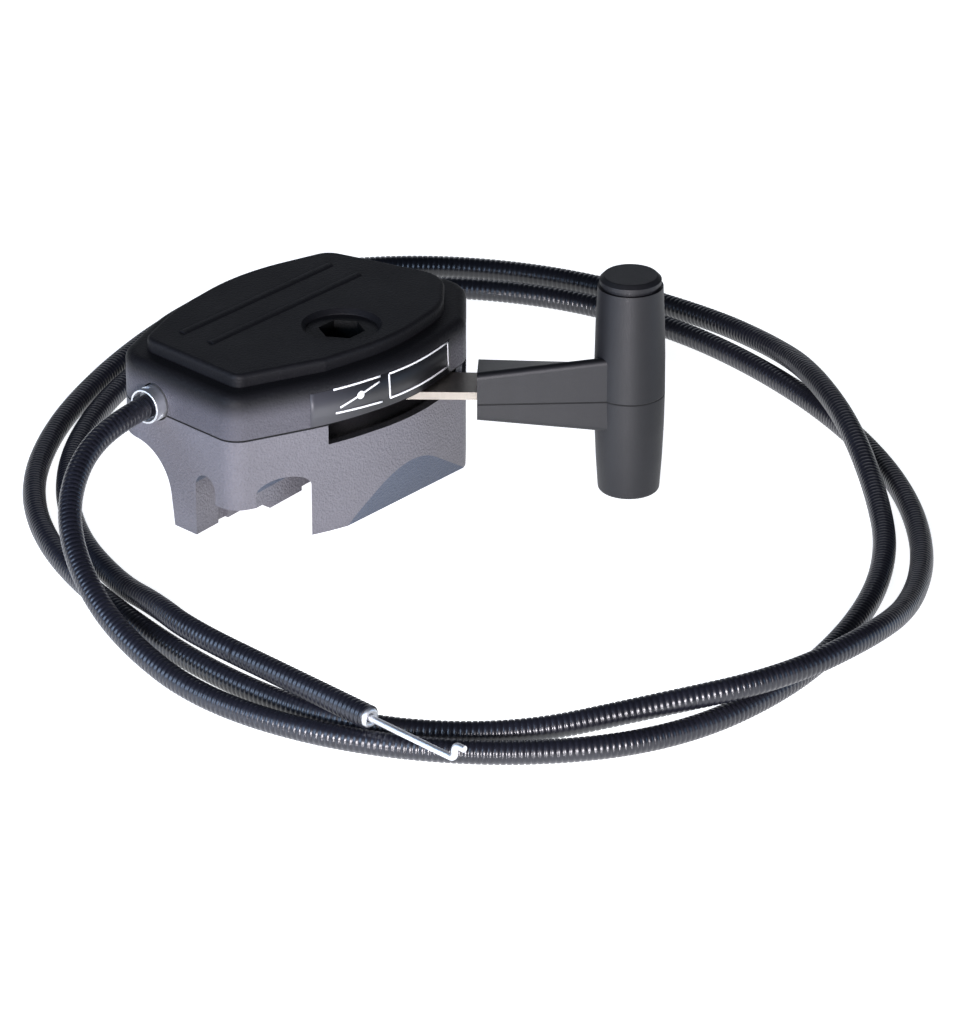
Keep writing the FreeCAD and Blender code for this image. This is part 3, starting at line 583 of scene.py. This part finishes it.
def cable(ribs):
    line = smooth_line("conduit_line", route_points())
    mesh = plain_mesh(line)
    bpy.data.objects.remove(line)
    conduit = grown("ribbed_conduit", mesh, ribs, Radius=CONDUIT / 2, Pitch=RIB_PITCH,
                    Groove=GROOVE, Sides=16, Material=FINISHES["jacket"])
    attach(conduit, "housing")
    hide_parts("conduit")
    sleeve = far_sleeve(ribs)


def edge_line(name, points):
    mesh = bpy.data.meshes.new(name)
    edges = [(i, i + 1) for i in range(len(points) - 1)]
    mesh.from_pydata([tuple(point) for point in points], edges, [])
    return mesh


# Radius, and distance along the sleeve from where its jacket is cut, in millimetres
LINER_PROFILE = [(2.05, -1.6), (2.35, -0.6), (2.35, 0.55), (2.1, 0.95),
                 (1.75, 1.0), (1.35, 0.9), (1.15, 0.5), (1.1, -1.6)]
LINER_REACH = 1.0 * MM


def far_sleeve(ribs):
    """The straight last length: a ribbed jacket cut square, and its steel liner's end."""
    end = SLEEVE_START + SLEEVE_WAY * (SLEEVE_LENGTH - LINER_REACH)
    sleeve = grown("ribbed_conduit_end", edge_line("sleeve_line", [SLEEVE_START, end]), ribs,
                   Radius=CONDUIT / 2, Pitch=RIB_PITCH, Groove=GROOVE, Sides=24,
                   Material=FINISHES["jacket"])
    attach(sleeve, "housing")
    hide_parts("conduit_end")
    liner = turned_ring("conduit_liner", end, SLEEVE_WAY, LINER_PROFILE, "bright")
    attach(liner, "housing")
    return sleeve


def turned_ring(name, place, way, profile, finish):
    """A closed ring: profile points are (radius, distance along the axis), in millimetres."""
    side = way.orthogonal().normalized()
    other = way.cross(side)
    vertices = []
    faces = []
    sides = 48
    count = len(profile)
    for i in range(sides):
        turn = 2 * math.pi * i / sides
        out = side * math.cos(turn) + other * math.sin(turn)
        for radius, along in profile:
            vertices.append(place + out * radius * MM + way * along * MM)
        for j in range(count):
            a = i * count + j
            b = i * count + (j + 1) % count
            c = ((i + 1) % sides) * count + (j + 1) % count
            d = ((i + 1) % sides) * count + j
            faces.append((a, b, c, d))
    mesh = bpy.data.meshes.new(name)
    mesh.from_pydata(vertices, [], faces)
    outwards(mesh)
    mesh.shade_smooth()
    return add_piece(name, mesh, finish)


def outwards(mesh):
    """Turns every face to point away from the inside of a closed mesh."""
    work = bmesh.new()
    work.from_mesh(mesh)
    bmesh.ops.recalc_face_normals(work, faces=work.faces)
    work.to_mesh(mesh)
    work.free()


# ---------------------------------------------------------------------------
# Print on the cover's wall, in millimetres
# ---------------------------------------------------------------------------

LABEL_PROUD, LABEL_DEPTH = 0.07, 0.05
LINE_PROUD, DOT_PROUD, PRINT_DEPTH = 0.13, 0.15, 0.06
LINE_WIDTH = 0.5
IN_FRONT_OF_WALL = -60.0


class CoverWall:
    """Points on the cover's long front wall, found on the moulding itself."""

    def __init__(self):
        mesh = NODES["top_cover"].data
        self.faces = BVHTree.FromPolygons([vertex.co for vertex in mesh.vertices],
                                          [tuple(face.vertices) for face in mesh.polygons])

    def point(self, x, z, proud):
        """The place on the wall at x and z, moved out from it by proud."""
        start = Vector((x * MM, IN_FRONT_OF_WALL * MM, z * MM))
        hit, normal = self.faces.ray_cast(start, Vector((0, 1, 0)))[:2]
        normal = Vector((normal.x, normal.y, 0)).normalized()
        if normal.y > 0:
            normal = -normal
        return hit + normal * proud * MM


def wall_patch(name, wall, rows, proud, finish, depth):
    """A thin closed skin on the wall, through rows of (x, z) places."""
    across = len(rows[0])
    outer = [wall.point(x, z, proud) for row in rows for x, z in row]
    inner = [wall.point(x, z, proud - depth) for row in rows for x, z in row]
    vertices = outer + inner
    shift = len(outer)
    faces = []
    for i in range(len(rows) - 1):
        for j in range(across - 1):
            a = i * across + j
            faces.append((a, a + 1, a + across + 1, a + across))
            faces.append((a + shift, a + across + shift, a + across + 1 + shift, a + 1 + shift))
    rim = list(range(across))
    rim += [i * across + across - 1 for i in range(1, len(rows))]
    rim += [(len(rows) - 1) * across + j for j in range(across - 2, -1, -1)]
    rim += [i * across for i in range(len(rows) - 2, 0, -1)]
    for k, a in enumerate(rim):
        b = rim[(k + 1) % len(rim)]
        faces.append((b, a, a + shift, b + shift))
    mesh = bpy.data.meshes.new(name)
    mesh.from_pydata(vertices, [], faces)
    outwards(mesh)
    mesh.shade_smooth()
    return add_piece(name, mesh, finish)


def stroke(wall, name, start, end):
    """A printed line between two places on the wall."""
    way = Vector((end[0] - start[0], end[1] - start[1])).normalized()
    side = Vector((-way.y, way.x)) * LINE_WIDTH / 2
    steps = 10
    rows = []
    for edge in (-1, 1):
        row = []
        for i in range(steps + 1):
            t = i / steps
            row.append((start[0] + (end[0] - start[0]) * t + side.x * edge,
                        start[1] + (end[1] - start[1]) * t + side.y * edge))
        rows.append(row)
    return wall_patch(name, wall, rows, LINE_PROUD, "print", PRINT_DEPTH)


def dot(wall, name, centre, radius):
    """A printed round spot: rows across it, each as long as the circle is wide there."""
    steps = 12
    left_off = 0.04     # share of the half turn at each end, where a row would be a point
    rows = []
    for i in range(steps + 1):
        turn = math.pi * (left_off + (1 - 2 * left_off) * i / steps)
        half = radius * math.sin(turn)
        level = centre[1] - radius * math.cos(turn)
        rows.append([(centre[0] + half * (2 * j / steps - 1), level) for j in range(steps + 1)])
    return wall_patch(name, wall, rows, DOT_PROUD, "print", PRINT_DEPTH)


def printed_marks():
    """A choke symbol and an empty frame, printed on a smooth patch of the wall."""
    wall = CoverWall()
    left, right, low, high = -26.5, 20.6, SEAM / MM + 0.35, SHELF / MM - 2.7
    steps = 40
    rows = [[(left + (right - left) * i / steps, z) for i in range(steps + 1)]
            for z in (low, high)]
    pieces = [wall_patch("label_patch", wall, rows, LABEL_PROUD, "foil", LABEL_DEPTH)]
    pieces.append(stroke(wall, "choke_line_upper", (-20.6, 29.4), (-6.9, 29.3)))
    pieces.append(stroke(wall, "choke_line_lower", (-20.0, 23.0), (-6.3, 22.3)))
    pieces.append(stroke(wall, "choke_flap", (-18.8, 24.2), (-7.2, 27.9)))
    pieces.append(dot(wall, "choke_spindle", (-12.9, 26.0), 1.05))
    corners = [(-4.2, 29.1), (19.4, 29.1), (19.8, 22.5), (-3.8, 22.5)]
    for i, corner in enumerate(corners):
        pieces.append(stroke(wall, "frame_line_%d" % (i + 1), corner, corners[(i + 1) % 4]))
    for piece in pieces:
        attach(piece, "housing")


# ---------------------------------------------------------------------------
# Studio
# ---------------------------------------------------------------------------

def floor():
    size = 4.0
    gap = 0.00002       # keeps the floor clear of the faces that stand on it
    low = FLOOR - gap
    corners = [(-size, -size, low), (size, -size, low), (size, size, low), (-size, size, low)]
    mesh = bpy.data.meshes.new("studio_floor")
    mesh.from_pydata(corners, [], [(0, 1, 2, 3)])
    piece = add_piece("studio_floor", mesh)
    finish = Finish("lit_table", Base_Color=(0.80, 0.80, 0.81, 1.0), Roughness=0.15,
                    Specular_IOR_Level=0.5, Emission_Strength=3.0)
    # Painted light: the floor glows, brightest in a pool round the case and cable, and lights them
    # from below.
    centre = finish.node("ShaderNodeVectorMath", {"operation": "DISTANCE"},
                         {0: finish.place, 1: (-0.034, -0.080, FLOOR)}, "Value")
    finish.feed(Emission_Color=colour_mix(finish, centre.band(0.0, 0.085), (0.97, 0.98, 1.0),
                                          (0.310, 0.315, 0.320)))
    mesh.materials.append(finish.material)


def soft_light(name, place, target, width, height, power, colour):
    data = bpy.data.lights.new(name, "AREA")
    data.shape = "RECTANGLE"
    data.size = width
    data.size_y = height
    data.energy = power
    data.color = colour
    light = bpy.data.objects.new(name, data)
    light.location = place
    light.rotation_euler = (Vector(target) - Vector(place)).to_track_quat("-Z", "Y").to_euler()
    bpy.context.scene.collection.objects.link(light)


def studio():
    floor()
    world = bpy.data.worlds.new("studio_air")
    world.use_nodes = True
    world.node_tree.nodes["Background"].inputs["Color"].default_value = (0.70, 0.80, 1.0, 1.0)
    world.node_tree.nodes["Background"].inputs["Strength"].default_value = 0.05
    bpy.context.scene.world = world
    middle = (0.0, -0.02, 0.01)
    soft_light("low_front", (-0.85, -0.62, 0.20), middle, 0.30, 0.16, 14.0, (0.98, 0.94, 1.0))
    soft_light("low_back", (0.95, 0.80, 0.42), middle, 0.8, 0.2, 1.0, (0.86, 0.90, 1.0))
    soft_light("left_window", (-0.42, 0.08, 0.15), (-0.06, 0.02, 0.0), 0.28, 0.2, 1.1,
               (0.52, 0.70, 1.0))
    soft_light("right_window", (0.55, -0.80, 0.20), middle, 0.5, 0.3, 1.0, (0.40, 0.64, 1.0))
    bpy.context.scene.view_settings.view_transform = "Standard"


studio_camera()
cable(ribbed_tree())
finish_frame()
printed_marks()
studio()
